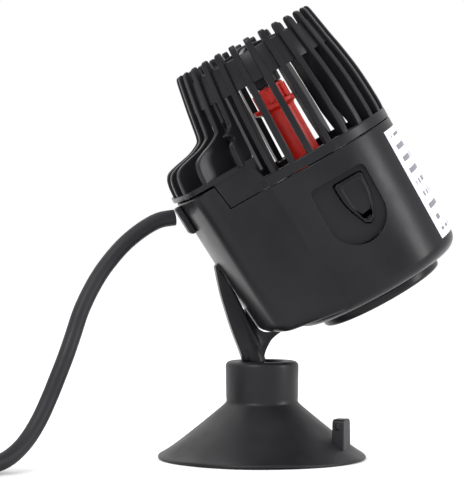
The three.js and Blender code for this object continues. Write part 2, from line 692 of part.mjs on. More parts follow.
function build() {
  const pump = new THREE.Group();
  const cup = new THREE.Group();
  cup.add(piece("suction_cup", suctionCup(), BLACK_RUBBER));
  cup.add(piece("socket_liner", socketLiner(), BLACK_PLASTIC));
  pump.add(cup);

  const head = new THREE.Group();
  head.rotation.y = -LEAN;
  const ballInHead = new THREE.Vector3(BALL_U, 0, BALL_W).applyEuler(head.rotation);
  head.position.set(-ballInHead.x, 0, BALL_Z - ballInHead.z);
  const ballMesh = piece("ball", ball(), BLACK_PLASTIC);
  ballMesh.position.set(BALL_U, 0, BALL_W);
  ballMesh.rotation.y = NECK_LEAN;
  const add = (name, geometry, material) => head.add(piece(name, geometry, material));
  head.add(ballMesh);
  add("housing", housing(), BLACK_PLASTIC);
  add("rear_cap", rearCap(), BLACK_PLASTIC);
  add("release_button_near", releaseButton(), BLACK_PLASTIC);
  add("release_button_far", mirrored(releaseButton()), BLACK_PLASTIC);
  add("rating_label", ratingLabel(), LABEL);
  add("motor_cover", motorCover(), BLACK_PLASTIC);
  add("stator_core", statorCore(), STEEL);
  add("coil_bobbin_far", bobbin(), WHITE_PLASTIC);
  add("coil_bobbin_near", mirrored(bobbin()), WHITE_PLASTIC);
  add("coil_winding_far", winding(), COPPER);
  add("coil_winding_near", mirrored(winding()), COPPER);
  add("potting_resin", pottingResin(), RESIN);
  add("rear_shaft_mount", tube(BORE_R, 4.2, -32.7, -30), BLACK_RUBBER);
  add("rotor_shaft", rod(SHAFT_R, -32.4, 39.6, 16), CERAMIC);
  add("thrust_washer_rear", tube(BORE_R, 3.4, -29.7, -28.9), CERAMIC);
  add("rotor_magnet", tube(3, 7.9, -28.3, -8.7), MAGNET);
  add("rotor_carrier", rotorCarrier(), RED_PLASTIC);
  add("propeller", propeller(), BLACK_PLASTIC);
  add("thrust_washer_front", tube(BORE_R, 2.6, 36.3, 37), CERAMIC);
  add("front_shaft_mount", tube(BORE_R, 1.9, 37.4, 39.8), BLACK_RUBBER);
  add("cage", cage(), BLACK_PLASTIC);
  add("ball_arm", ballArm(), BLACK_PLASTIC);
  add("cord_gland", cordGland(), BLACK_RUBBER);
  pump.add(head);
  return pump;
}

function buildLead() {
  const lead = new THREE.Group();
  lead.add(piece("lead", leadTube(), LEAD));
  const coil = new THREE.Group();
  coil.position.set(COIL_X, COIL_Y, 0);
  coil.add(piece("lead_coil", leadCoil(), LEAD));
  const tie = piece("coil_tie", coilTie(), BLACK_PLASTIC);
  tie.rotation.z = degToRad(180);
  coil.add(tie);
  lead.add(coil);
  const plug = new THREE.Group();
  const bendCentreY = COIL_Y + COIL_R + COIL_BAND - CORD_R - LAST_BEND_R;
  plug.position.set(COIL_X + LAST_BEND_R, bendCentreY, 2 * COIL_BAND + GAP + PLUG_HALF_T);
  plug.rotation.z = Math.PI;
  plug.add(piece("plug_body", plugBody(), BLACK_PLASTIC));
  plug.add(piece("plug_pin_left", plugPin(-1), BRASS));
  plug.add(piece("plug_pin_right", plugPin(1), BRASS));
  lead.add(plug);
  return lead;
}

// The pump's own box stands over the origin; the lead is laid out in the same world frame.
const pump = build();
const box = new THREE.Box3().setFromObject(pump, true);
pump.position.x = -(box.min.x + box.max.x) / 2;
const waveMaker = new THREE.Group();
waveMaker.add(pump, buildLead());

export default waveMaker;
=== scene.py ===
"""Wave maker pump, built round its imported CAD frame.

Lengths below are millimetres unless a name says otherwise. Most of the pump is laid out in the
head frame (u, v, w): w runs along the rotor towards the cage, u points away from the coil box, v is
world Y, and the origin is the centre of the seam between housing and cage.
"""
import json
import math

import bmesh
import bpy
from mathutils import Matrix, Vector


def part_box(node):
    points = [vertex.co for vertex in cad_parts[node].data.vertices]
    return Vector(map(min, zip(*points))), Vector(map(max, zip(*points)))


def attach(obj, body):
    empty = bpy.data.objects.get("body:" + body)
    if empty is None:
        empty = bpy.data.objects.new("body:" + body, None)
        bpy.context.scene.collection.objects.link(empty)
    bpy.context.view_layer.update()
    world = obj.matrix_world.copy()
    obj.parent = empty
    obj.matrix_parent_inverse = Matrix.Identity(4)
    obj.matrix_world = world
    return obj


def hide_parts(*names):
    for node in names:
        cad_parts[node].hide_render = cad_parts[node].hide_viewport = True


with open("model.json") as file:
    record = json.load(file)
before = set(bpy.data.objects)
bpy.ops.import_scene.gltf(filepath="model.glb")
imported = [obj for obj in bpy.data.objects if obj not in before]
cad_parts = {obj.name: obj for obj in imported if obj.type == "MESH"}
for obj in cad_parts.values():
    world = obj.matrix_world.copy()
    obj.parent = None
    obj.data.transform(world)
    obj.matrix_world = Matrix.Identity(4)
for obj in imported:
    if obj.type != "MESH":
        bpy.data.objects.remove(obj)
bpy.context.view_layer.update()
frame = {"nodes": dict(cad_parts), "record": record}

MM = 0.001
JOINTS = {joint["name"]: joint for joint in frame["record"]["behaviour"]["joints"]}


def middle(node):
    low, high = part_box(node)
    return (Vector(low) + Vector(high)) / 2


# ---------- frames ----------

BALL = Vector(JOINTS["head_pan"]["pos_m"])
SEAM_CENTRE = Vector(JOINTS["propeller_spin"]["pos_m"])
W_AXIS = Vector(JOINTS["propeller_spin"]["axis"]).normalized()
V_AXIS = Vector((0, 1, 0))
U_AXIS = V_AXIS.cross(W_AXIS)
NECK_AXIS = Vector(JOINTS["head_twist"]["axis"]).normalized()


def placed(origin, x_axis, y_axis, z_axis):
    """Matrix that takes millimetres in a local frame to metres in the row frame."""
    turn = Matrix((x_axis, y_axis, z_axis)).transposed().to_4x4()
    return Matrix.Translation(origin) @ turn @ Matrix.Scale(MM, 4)


X_AXIS = Vector((1, 0, 0))
Z_AXIS = Vector((0, 0, 1))
HEAD = placed(SEAM_CENTRE, U_AXIS, V_AXIS, W_AXIS)
CUP = placed(Vector((BALL.x, 0, 0)), X_AXIS, V_AXIS, Z_AXIS)
NECK = placed(BALL, V_AXIS.cross(NECK_AXIS), V_AXIS, NECK_AXIS)
COIL_CENTRE = middle("lead_coil")
COIL = placed(Vector((COIL_CENTRE.x, COIL_CENTRE.y, 0)), X_AXIS, V_AXIS, Z_AXIS)

# ---------- camera ----------

VIEW_AZIMUTH = math.radians(8.4)
VIEW_DISTANCE = 590 * MM
VIEW_HEIGHT = 68 * MM
AIM_X = BALL.x - 9.5 * MM
LENS = 142
SENSOR_WIDTH = 36


def add_camera():
    data = bpy.data.cameras.new("view_camera")
    data.sensor_width = SENSOR_WIDTH
    data.lens = LENS
    data.clip_start = 0.01
    camera = bpy.data.objects.new("view_camera", data)
    camera.location = (
        AIM_X - VIEW_DISTANCE * math.sin(VIEW_AZIMUTH),
        -VIEW_DISTANCE * math.cos(VIEW_AZIMUTH),
        VIEW_HEIGHT,
    )
    aim = Vector((AIM_X, 0, VIEW_HEIGHT)) - camera.location
    camera.rotation_euler = aim.to_track_quat("-Z", "Y").to_euler()
    bpy.context.scene.collection.objects.link(camera)
    bpy.context.scene.camera = camera


add_camera()

# ---------- materials ----------


class Shader:
    """A Principled material, and the few node patterns that the finishes share."""

    def __init__(self, name, roughness, metallic=0.0, specular=0.5):
        self.material = bpy.data.materials.new(name)
        self.material.use_nodes = True
        self.tree = self.material.node_tree
        self.shader = self.tree.nodes["Principled BSDF"]
        self.shader.inputs["Roughness"].default_value = roughness
        self.shader.inputs["Metallic"].default_value = metallic
        self.shader.inputs["Specular IOR Level"].default_value = specular
        self.place = self.node("ShaderNodeTexCoord").outputs["Object"]

    def node(self, kind, **settings):
        made = self.tree.nodes.new(kind)
        for key, value in settings.items():
            setattr(made, key, value)
        return made

    def wire(self, source, target):
        self.tree.links.new(source, target)

    def noise(self, scale, detail=3.0, stretch=None):
        made = self.node("ShaderNodeTexNoise")
        made.inputs["Scale"].default_value = scale
        made.inputs["Detail"].default_value = detail
        source = self.place
        if stretch:
            mapping = self.node("ShaderNodeMapping")
            mapping.inputs["Scale"].default_value = stretch
            self.wire(self.place, mapping.inputs["Vector"])
            source = mapping.outputs["Vector"]
        self.wire(source, made.inputs["Vector"])
        return made.outputs["Fac"]

    def ramp(self, factor, stops):
        made = self.node("ShaderNodeValToRGB")
        elements = made.color_ramp.elements
        while len(elements) < len(stops):
            elements.new(0.5)
        for element, (position, color) in zip(elements, stops):
            element.position = position
            element.color = (*color, 1)
        self.wire(factor, made.inputs["Fac"])
        return made.outputs["Color"]

    def spread(self, factor, low, high):
        """A noise factor mapped to a range of plain numbers."""
        made = self.node("ShaderNodeMapRange")
        made.inputs["From Min"].default_value = 0.3
        made.inputs["From Max"].default_value = 0.7
        made.inputs["To Min"].default_value = low
        made.inputs["To Max"].default_value = high
        self.wire(factor, made.inputs["Value"])
        return made.outputs["Result"]

    def color(self, dark, light, scale):
        tone = self.ramp(self.noise(scale), [(0.3, dark), (0.7, light)])
        self.wire(tone, self.shader.inputs["Base Color"])

    def roughness(self, low, high, scale, stretch=None):
        self.wire(self.spread(self.noise(scale, 4, stretch), low, high), self.shader.inputs["Roughness"])

    def relief(self, height, scale, strength, distance_mm, edge_mm=0.0, stretch=None):
        """Fine bump, over normals that are rounded at the edges."""
        bump = self.node("ShaderNodeBump")
        bump.inputs["Strength"].default_value = strength
        bump.inputs["Distance"].default_value = distance_mm * MM
        self.wire(height or self.noise(scale, 5, stretch), bump.inputs["Height"])
        if edge_mm:
            edge = self.node("ShaderNodeBevel", samples=6)
            edge.inputs["Radius"].default_value = edge_mm * MM
            self.wire(edge.outputs["Normal"], bump.inputs["Normal"])
        self.wire(bump.outputs["Normal"], self.shader.inputs["Normal"])


TONE_SCALE = 45
SHEEN_SCALE = 120
GRAIN_SCALE = 2600
GRAIN_DEPTH = 0.05


def moulded(name, dark, light, sheen, edge_mm=0.0, grain=0.25, specular=0.5):
    """Plastic, rubber or ceramic. sheen is the lowest and the highest roughness."""
    made = Shader(name, sum(sheen) / 2, 0.0, specular)
    made.color(dark, light, TONE_SCALE)
    made.roughness(*sheen, SHEEN_SCALE)
    made.relief(None, GRAIN_SCALE, grain, GRAIN_DEPTH, edge_mm)
    return made.material


def banded(made, direction, scale, strength):
    """Parallel ridges, such as the turns of a winding or the edges of stacked sheets."""
    bands = made.node("ShaderNodeTexWave", wave_type="BANDS", bands_direction=direction)
    bands.inputs["Scale"].default_value = scale
    made.wire(made.place, bands.inputs["Vector"])
    made.relief(bands.outputs["Fac"], 0, strength, 0.2)
    return made.material


def wound_wire():
    made = Shader("enamelled copper wire", 0.35, 0.85)
    made.color((0.42, 0.16, 0.06), (0.62, 0.27, 0.11), 60)
    return banded(made, "X", 900, 0.6)


def stacked_sheets():
    made = Shader("core sheets", 0.4, 0.9)
    made.color((0.2, 0.2, 0.21), (0.33, 0.33, 0.34), 80)
    return banded(made, "Z", 700, 0.5)


def turned_metal(name, dark, light):
    made = Shader(name, 0.25, 1.0)
    made.color(dark, light, 90)
    made.roughness(0.2, 0.36, 400, (1, 1, 12))
    made.relief(None, 900, 0.15, 0.04, 0.15)
    return made.material


FILM_ROWS = 9
FILM_CELLS = 26


def printed_film():
    """Pale film with rows of plain grey bars in place of print."""
    made = Shader("label film", 0.42)
    plan = made.node("ShaderNodeUVMap", uv_map="film").outputs["UV"]
    split = made.node("ShaderNodeSeparateXYZ")
    made.wire(plan, split.inputs["Vector"])

    def math_node(operation, a, b=None):
        node = made.node("ShaderNodeMath", operation=operation)
        for socket, value in zip(node.inputs, (a, b)):
            if value is None:
                continue
            if isinstance(value, (int, float)):
                socket.default_value = value
            else:
                made.wire(value, socket)
        return node.outputs[0]

    def within(value, reach):
        """1 where the value lies less than reach from one half."""
        return math_node("LESS_THAN", math_node("ABSOLUTE", math_node("SUBTRACT", value, 0.5)), reach)

    along, down = split.outputs["X"], split.outputs["Y"]
    rows = math_node("MULTIPLY", down, FILM_ROWS)
    row = math_node("FLOOR", rows)
    cells = math_node("MULTIPLY", along, FILM_CELLS)
    cell = math_node("FLOOR", cells)
    spot = made.node("ShaderNodeCombineXYZ")
    made.wire(cell, spot.inputs["X"])
    made.wire(row, spot.inputs["Y"])
    chance = made.node("ShaderNodeTexWhiteNoise", noise_dimensions="2D")
    made.wire(spot.outputs["Vector"], chance.inputs["Vector"])
    filled = math_node("GREATER_THAN", chance.outputs["Value"], 0.3)
    bar = math_node("MULTIPLY", within(math_node("FRACT", rows), 0.2), filled)
    margin = math_node("MULTIPLY", within(along, 0.44), within(down, 0.45))
    ink = math_node("MULTIPLY", bar, margin)
    film = made.ramp(made.noise(60), [(0.3, (0.66, 0.67, 0.74)), (0.7, (0.72, 0.73, 0.8))])
    mix = made.node("ShaderNodeMix", data_type="RGBA")
    made.wire(ink, mix.inputs["Factor"])
    made.wire(film, mix.inputs["A"])
    mix.inputs["B"].default_value = (0.16, 0.16, 0.19, 1)
    made.wire(mix.outputs["Result"], made.shader.inputs["Base Color"])
    made.relief(None, 1500, 0.1, 0.02)
    return made.material


BLACK_TONES = ((0.006, 0.006, 0.0075), (0.011, 0.011, 0.013))
BLACK = moulded("black plastic", *BLACK_TONES, (0.27, 0.36), edge_mm=0.35, specular=0.16)
BLACK_FINE = moulded("black plastic, small parts", *BLACK_TONES, (0.27, 0.36), edge_mm=0.2, specular=0.16)
RUBBER_TONES = ((0.007, 0.007, 0.0085), (0.014, 0.014, 0.016))
RUBBER = moulded("black rubber", *RUBBER_TONES, (0.34, 0.48), edge_mm=0.3, grain=0.35, specular=0.2)
RED = moulded("red plastic", (0.5, 0.012, 0.008), (0.62, 0.02, 0.012), (0.3, 0.4), edge_mm=0.2, specular=0.3)
NYLON = moulded("natural nylon", (0.6, 0.58, 0.52), (0.7, 0.68, 0.62), (0.4, 0.5), edge_mm=0.2)
SHEATH_TONES = ((0.011, 0.011, 0.013), (0.017, 0.017, 0.02))
SHEATH = moulded("lead sheath", *SHEATH_TONES, (0.42, 0.56), grain=0.4, specular=0.2)
RESIN = moulded("cast resin", (0.008, 0.009, 0.012), (0.014, 0.016, 0.02), (0.15, 0.25))
MAGNET_TONES = ((0.03, 0.03, 0.031), (0.06, 0.06, 0.062))
MAGNET = moulded("sintered magnet", *MAGNET_TONES, (0.5, 0.7), edge_mm=0.15, grain=0.6)
CERAMIC = moulded("white ceramic", (0.74, 0.73, 0.68), (0.8, 0.79, 0.75), (0.12, 0.2), edge_mm=0.1, grain=0.1)
COPPER = wound_wire()
CORE = stacked_sheets()
PIN_METAL = turned_metal("pin metal", (0.5, 0.38, 0.16), (0.66, 0.52, 0.24))
FILM = printed_film()

# ---------- mesh helpers ----------


def arc(x, y, radius, start, stop, steps):
    """Points of a circular arc, angles in degrees, both ends included."""
    turns = [math.radians(start + (stop - start) * k / steps) for k in range(steps + 1)]
    return [(x + radius * math.cos(a), y + radius * math.sin(a)) for a in turns]


def quarter(steps):
    """Angles from 0 to 90 degrees, in radians."""
    return [math.radians(90 * k / steps) for k in range(steps + 1)]


def rounded(points, radius, steps=4, closed=True):
    """The outline with each corner rounded. radius is one number, or one for each point."""
    radii = radius if isinstance(radius, (list, tuple)) else [radius] * len(points)
    count = len(points)
    made = []
    for k, point in enumerate(points):
        here = Vector(point)
        if not closed and k in (0, count - 1):
            made.append(tuple(here))
            continue
        back, ahead = Vector(points[k - 1]) - here, Vector(points[(k + 1) % count]) - here
        half = back.angle(ahead) / 2
        if radii[k] <= 0 or half > math.radians(88):
            made.append(tuple(here))
            continue
        reach = min(radii[k] / math.tan(half), back.length * 0.48, ahead.length * 0.48)
        start, stop = here + back.normalized() * reach, here + ahead.normalized() * reach
        for step in range(steps + 1):
            t = step / steps
            made.append(tuple(start * (1 - t) ** 2 + here * (2 * t * (1 - t)) + stop * t**2))
    return made


def spline_value(a, b, c, d, t):
    """Catmull-Rom value between b and c."""
    return 0.5 * (2 * b + (c - a) * t + (2 * a - 5 * b + 4 * c - d) * t**2 + (3 * b - a - 3 * c + d) * t**3)


def smooth_line(points, steps=5):
    """Catmull-Rom line through the points, any dimension."""
    ghosts = [tuple(2 * a - b for a, b in zip(points[0], points[1]))]
    ghosts += [tuple(p) for p in points]
    ghosts.append(tuple(2 * a - b for a, b in zip(points[-1], points[-2])))
    made = []
    for k in range(1, len(ghosts) - 2):
        p0, p1, p2, p3 = ghosts[k - 1 : k + 3]
        for step in range(steps):
            t = step / steps
            made.append(tuple(spline_value(*values, t) for values in zip(p0, p1, p2, p3)))
    made.append(tuple(points[-1]))
    return made


def lathe(profile, facets=96, closed=False):
    """A profile of (radius, height) turned about z. An open profile starts and ends on the axis."""
    verts, rings = [], []
    for radius, height in profile:
        if radius < 1e-6:
            rings.append([len(verts)])
            verts.append((0, 0, height))
            continue
        rings.append(list(range(len(verts), len(verts) + facets)))
        for k in range(facets):
            turn = 2 * math.pi * k / facets
            verts.append((radius * math.cos(turn), radius * math.sin(turn), height))
    pairs = list(zip(rings, rings[1:])) + ([(rings[-1], rings[0])] if closed else [])
    faces = []
    for low, high in pairs:
        for k in range(facets):
            after = k + 1
            quad = [low[k % len(low)], low[after % len(low)], high[after % len(high)], high[k % len(high)]]
            faces.append(list(dict.fromkeys(quad)))
    return verts, [face for face in faces if len(face) > 2]


def skin(sections, closed=False):
    """Quads over a row of closed outlines with the same count, with a flat face at both ends."""
    count = len(sections[0])
    verts = [tuple(point) for section in sections for point in section]
    faces = []
    rows = len(sections) if closed else len(sections) - 1
    for row in range(rows):
        a, b = row * count, ((row + 1) % len(sections)) * count
        for k in range(count):
            faces.append([a + k, a + (k + 1) % count, b + (k + 1) % count, b + k])
    if not closed:
        faces.append(list(range(count))[::-1])
        faces.append([(len(sections) - 1) * count + k for k in range(count)])
    return verts, faces


def plate(outline, low, high):
    """An outline in (x, y) extruded along z."""
    return skin([[(x, y, z) for x, y in outline] for z in (low, high)])


def fin(outline, half, centre=0.0):
    """An outline in (x, z) extruded along y, the same distance to both sides of centre."""
    return skin([[(x, centre + side * half, z) for x, z in outline] for side in (-1, 1)])


def box_shape(x, y, z):
    return plate([(x[0], y[0]), (x[1], y[0]), (x[1], y[1]), (x[0], y[1])], *z)


def turned(shape, degrees):
    """The shape turned about z."""
    c, s = math.cos(math.radians(degrees)), math.sin(math.radians(degrees))
    return [(c * x - s * y, s * x + c * y, z) for x, y, z in shape[0]], shape[1]


def moved(shape, offset):
    return [tuple(a + b for a, b in zip(vert, offset)) for vert in shape[0]], shape[1]


def flipped(shape):
    """The shape mirrored in y."""
    return [(x, -y, z) for x, y, z in shape[0]], [face[::-1] for face in shape[1]]


def solid(name, *shapes, matrix=HEAD):
    """One object from closed shapes, with its mesh in the row frame."""
    shell = bmesh.new()
    for verts, faces in shapes:
        made = [shell.verts.new(matrix @ Vector(vert)) for vert in verts]
        for face in faces:
            shell.faces.new([made[k] for k in face])
    bmesh.ops.recalc_face_normals(shell, faces=shell.faces)
    mesh = bpy.data.meshes.new(name)
    shell.to_mesh(mesh)
    shell.free()
    made = bpy.data.objects.new(name, mesh)
    bpy.context.scene.collection.objects.link(made)
    return made


def settled(target):
    """Applies the modifiers to the mesh."""
    graph = bpy.context.evaluated_depsgraph_get()
    final = bpy.data.meshes.new_from_object(target.evaluated_get(graph))
    target.modifiers.clear()
    target.data = final
    return target


def combine(target, tools, operation):
    for tool in tools:
        cutter = target.modifiers.new("combine", "BOOLEAN")
        cutter.operation = operation
        cutter.solver = "MANIFOLD"
        cutter.object = tool
        bpy.context.view_layer.update()
        settled(target)
        bpy.data.objects.remove(tool)
    return target


def carve(target, *tools):
    return combine(target, tools, "DIFFERENCE")


def fuse(target, *tools):
    return combine(target, tools, "UNION")


def shade(target, angle=32):
    target.data.shade_smooth()
    target.data.set_sharp_from_angle(angle=math.radians(angle))
    return target


def bevelled(target, width_mm, segments=3, angle=32):
    """Rounded edges in the mesh itself."""
    edge = target.modifiers.new("edge", "BEVEL")
    edge.width = width_mm * MM
    edge.segments = segments
    edge.limit_method = "ANGLE"
    edge.angle_limit = math.radians(angle)
    edge.use_clamp_overlap = True
    settled(target)
    target.data.shade_smooth()
    weighted = target.modifiers.new("normals", "WEIGHTED_NORMAL")
    weighted.keep_sharp = True
    return settled(target)


def finish(target, material, body, slot, *nodes):
    """Gives a piece its material and its body, and hides the CAD nodes that it stands for."""
    target.data.materials.clear()
    target.data.materials.append(material)
    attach(target, body)
    if nodes:
        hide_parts(*nodes)
    return target


def carried(node, material):
    """A CAD node that keeps its own mesh and gets a material."""
    shown = frame["nodes"][node]
    if shown.data.materials:
        shown.data.materials[0] = material
    else:
        shown.data.materials.append(material)
    for slot in shown.material_slots:
        slot.material = material


# ---------- mains lead ----------

CORD_R = 2.5
COIL_R = 27.5
TURN_GAP = 2 * CORD_R
LAST_BEND_R = 20
FULL_TURNS = 6
STEPS_PER_TURN = 48
SHIFT_TURNS = 0.15
# Where the turns change place, counted in turns from the start of the coil.
SHIFTS_IN = (0.85, 1.85)
SHIFTS_OUT = (3.7, 4.7)
RISES = (2.7, 5.6)
# The same route as the CAD's, in millimetres in the row frame.
ROUTE = [
    (-41.3, 0, 75), (-46.4, -0.6, 74), (-52.1, -1.8, 70.8), (-58, -3.5, 65.9), (-63.5, -5.6, 59.5),
    (-67.6, -7.8, 53.2), (-71, -10, 46.3), (-73.4, -12, 39.5), (-75.8, -14, 33), (-78.3, -16, 27),
    (-81, -18.2, 20.8), (-84.2, -20.8, 14.4), (-88.2, -23.8, 8.6), (-92.8, -27, 4.6), (-97.6, -30, 2.8),
    (-103, -33.1, 2.5),
]


def coil_points():
    """The wound turns, clockwise from where the lead meets the coil to where it leaves it."""
    outer = COIL_R + TURN_GAP
    centre = Vector((COIL_CENTRE.x, COIL_CENTRE.y)) / MM
    arrival = Vector(ROUTE[-1][:2]) - centre
    lean = math.acos(outer / arrival.length)
    start = math.atan2(arrival.y, arrival.x) - lean
    leave = FULL_TURNS + (start + 1.5 * math.pi) / (2 * math.pi)

    def shifted(t, places):
        return sum(min(max((t - place) / SHIFT_TURNS, 0), 1) for place in places)

    made = []
    steps = math.ceil(STEPS_PER_TURN * leave)
    for k in range(steps + 1):
        t = leave * k / steps
        radius = outer - TURN_GAP * (shifted(t, SHIFTS_IN) - shifted(t, SHIFTS_OUT))
        turn = start - 2 * math.pi * t
        height = CORD_R + TURN_GAP * shifted(t, RISES)
        made.append((centre.x + radius * math.cos(turn), centre.y + radius * math.sin(turn), height))
    return made


def lead_points():
    """The whole centre line: the route, the coil and the bend that climbs to the plug."""
    steps, stub = 18, 2
    coil = coil_points()
    top = coil[-1][2]
    plug_z = middle("plug_body").z / MM
    bend_x, bend_y = coil[-1][0], coil[-1][1] - LAST_BEND_R
    bend = []
    for k in range(1, steps + 1):
        share = k / steps
        turn = math.pi / 2 * (1 - share)
        height = top + (plug_z - top) * share * share * (3 - 2 * share)
        bend.append((bend_x + LAST_BEND_R * math.cos(turn), bend_y + LAST_BEND_R * math.sin(turn), height))
    end = [(bend[-1][0], bend[-1][1] - stub, plug_z)]
    return smooth_line(ROUTE + coil[:1], 4) + coil[1:] + bend + end


def make_lead():
    points = lead_points()
    curve = bpy.data.curves.new("lead_line", "CURVE")
    curve.dimensions = "3D"
    curve.bevel_depth = CORD_R * MM
    curve.bevel_resolution = 6
    curve.use_fill_caps = True
    spline = curve.splines.new("POLY")
    spline.points.add(len(points) - 1)
    for point, place in zip(spline.points, points):
        point.co = (*(value * MM for value in place), 1)
    spline.use_smooth = True
    made = bpy.data.objects.new("lead_cord", curve)
    bpy.context.scene.collection.objects.link(made)
    return made


def coil_tie():
    """A flat strap over the wound section, open on the floor."""
    band, room, strap = 7.5, 0.55, 0.75
    half = band + room
    top = 2 * band + room

    def path(grow, corner):
        side = half + grow
        return rounded([(-side, 0.1), (-side, top + grow), (side, top + grow), (side, 0.1)], corner, 6, False)

    outline = path(0, 2.4) + path(strap, 3.1)[::-1]
    outline = [(COIL_R + x, z) for x, z in outline]
    buckle = rounded([(-2.4, 15.4), (-2.4, 16.25), (2.4, 16.25), (2.4, 15.4)], 0.3, 3)
    buckle = [(COIL_R + x, z) for x, z in buckle]
    shapes = [turned(fin(outline, 1.9), 180), turned(fin(buckle, 2.0), 180)]
    return bevelled(solid("tie_strap", *shapes, matrix=COIL), 0.15, 2)


# ---------- plug ----------

PLUG_START = Vector((middle("plug_body").x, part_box("plug_body")[1][1], middle("plug_body").z))
PLUG = placed(PLUG_START, -X_AXIS, -V_AXIS, Z_AXIS)
PIN_SPREAD = 9.3


def oval(half_x, half_z, y, power=0.6, count=56):
    """A section across the plug. A power of 1 is an ellipse, and a lower one is squarer."""
    made = []
    for k in range(count):
        turn = 2 * math.pi * k / count
        c, s = math.cos(turn), math.sin(turn)
        x = math.copysign(abs(c) ** power, c) * half_x
        z = math.copysign(abs(s) ** power, s) * half_z
        made.append((x, y, z))
    return made


def plug_body():
    """Flat two-pin plug with a grooved strain relief."""
    sections = [oval(2.6, 2.6, 0, 1), oval(3.1, 3.1, 0.3, 1)]
    grooves = 6
    for k in range(grooves):
        y = 0.8 + 3 * k
        swell = 3.15 + 0.22 * k
        sections += [oval(swell, swell * 0.98, y, 0.95), oval(swell + 0.1, swell, y + 1.7, 0.95)]
        for sunk, step in ((0.65, 2.0), (0.6, 2.7)):
            sections.append(oval(swell - sunk, swell - sunk, y + step, 0.95))
    sections += [oval(4.6, 4.4, 18.9, 0.8), oval(5.6, 5, 20, 0.75)]
    shoulder = [(8.6, 5.8, 22), (11.6, 6.4, 25.2), (14, 6.6, 29), (15.7, 6.7, 33.5), (16.4, 6.7, 38)]
    sections += [oval(x, z, y) for x, z, y in smooth_line(shoulder, 4)]
    sections += [oval(16.4, 6.7, 44.6), oval(16.2, 6.5, 45.4), oval(15.6, 5.9, 45.9), oval(15, 5.3, 46)]
    body = solid("plug_shell", skin(sections), matrix=PLUG)
    bore = lathe([(0, 0), (2.3, 0), (2.3, 10), (0, 10)], 40)
    for side in (-1, 1):
        verts = [(side * PIN_SPREAD + x, 39 + z, y) for x, y, z in bore[0]]
        carve(body, solid("bore", (verts, bore[1]), matrix=PLUG))
    return shade(body, 40)


def plug_pin(side):
    profile = [(0, 39.3), (2, 39.3), (2, 62.6)] + arc(0.6, 63.6, 1.4, 0, 90, 6) + [(0, 65)]
    verts, faces = lathe(profile, 40)
    verts = [(side * PIN_SPREAD + x, z, y) for x, y, z in verts]
    return shade(solid("pin", (verts, faces), matrix=PLUG), 40)


lead = make_lead()
tie = finish(coil_tie(), BLACK_FINE, "head", "black_plastic", "coil_tie")
plug = finish(plug_body(), BLACK_FINE, "head", "plug_plastic", "plug_body")
for pin_name, pin_side in (("plug_pin_left", -1), ("plug_pin_right", 1)):
    pin = plug_pin(pin_side)
    pin.name = pin_name + "_turned"
    finish(pin, PIN_METAL, "head", "brass_pin", pin_name)
lead.data.materials.append(SHEATH)
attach(lead, "head")
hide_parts("lead", "lead_coil")

# ---------- suction cup ----------

RIM_R = 32.6
COLLAR_R = 11.4
SKIRT_R = 24
SKIRT_TOP = 12
TAB_TURN = -32
TAB_R = 26.3
TAB_HALF_T = 1.9


def suction_cup():
    """Rubber cup with a thin uneven rim and a collar for the ball."""
    outside = [
        (RIM_R, 0.35), (RIM_R - 0.15, 0.75), (RIM_R - 0.7, 1.15), (30.4, 2.1), (27.6, 4.1), (24, 6.9),
        (19.6, 10.4), (15.6, 13.7), (12.7, 16.1), (11.5, 17.2),
    ]
    collar = [
        (11.15, 17.9), (11.25, 19), (COLLAR_R, 28.6), (11.3, 29.3), (11, 29.8), (10.5, 30.15), (9.9, 30.3),
        (7.5, 30.3), (7.05, 30.15),
    ]
    inside = [(6.9, 29.8), (6.9, 26.4), (9.4, 26.4), (9.4, 14.7), (0, 14.7)]
    under = [(0, 11.5), (8, 10.7), (13, 8.5), (22, 4.1), (28.6, 0.9), (30.4, 0.15), (31.2, 0), (32.2, 0)]
    loop = inside[::-1] + collar[::-1] + smooth_line(outside, 4)[::-1] + under[::-1]
    verts, faces = lathe(loop, 120)
    wavy = []
    for x, y, z in verts:
        radius, turn = math.hypot(x, y), math.atan2(y, x)
        share = max(0.0, (radius - SKIRT_R) / (RIM_R - SKIRT_R)) ** 2
        lift = share * (0.28 + 0.2 * math.sin(3 * turn + 0.7) + 0.12 * math.sin(7 * turn))
        pull = 1 - share * 0.006 * (1 + math.sin(5 * turn + 1.3))
        wavy.append((x * pull, y * pull, z + (max(lift, 0) if z < SKIRT_TOP else 0)))
    return shade(solid("cup_rubber", (wavy, faces), matrix=CUP), 40)


def release_tab():
    """Upright tab on the rim, with a short rib across its top."""
    half = 3.3
    outline = [(-half, 2.6), (-half + 0.25, 13.2), (half - 0.25, 13.2), (half, 2.6), (0, 1.9)]
    rib_half = half + 0.35
    across = [(-rib_half, 9.9), (-rib_half, 12), (rib_half, 12), (rib_half, 9.9)]
    parts = [fin(rounded(outline, [0, 1.5, 1.5, 0, 0], 5), TAB_HALF_T), fin(rounded(across, 0.6), 0.75)]
    shapes = [turned(moved(turned(part, 90), (TAB_R, 0, 0)), TAB_TURN) for part in parts]
    return bevelled(solid("cup_tab", *shapes, matrix=CUP), 0.45, 3)


finish(suction_cup(), RUBBER, "cup", "black_rubber", "suction_cup")
finish(release_tab(), RUBBER, "cup", "black_rubber", "suction_cup")

# ---------- ball joint and arm ----------

BALL_R = 6.5
NECK_R = 3.3
PIN_R = 2.2


def joint_ball():
    """Ball with a blind hole for the arm's pin."""
    hole_r = PIN_R + 0.3
    edge = math.degrees(math.acos(hole_r / BALL_R))
    profile = [(0, -1.5), (hole_r, -1.5), *arc(0, 0, BALL_R, edge, -90, 30)]
    profile[-1] = (0, -BALL_R)
    return shade(solid("joint_ball", lathe(profile, 72), matrix=NECK), 40)


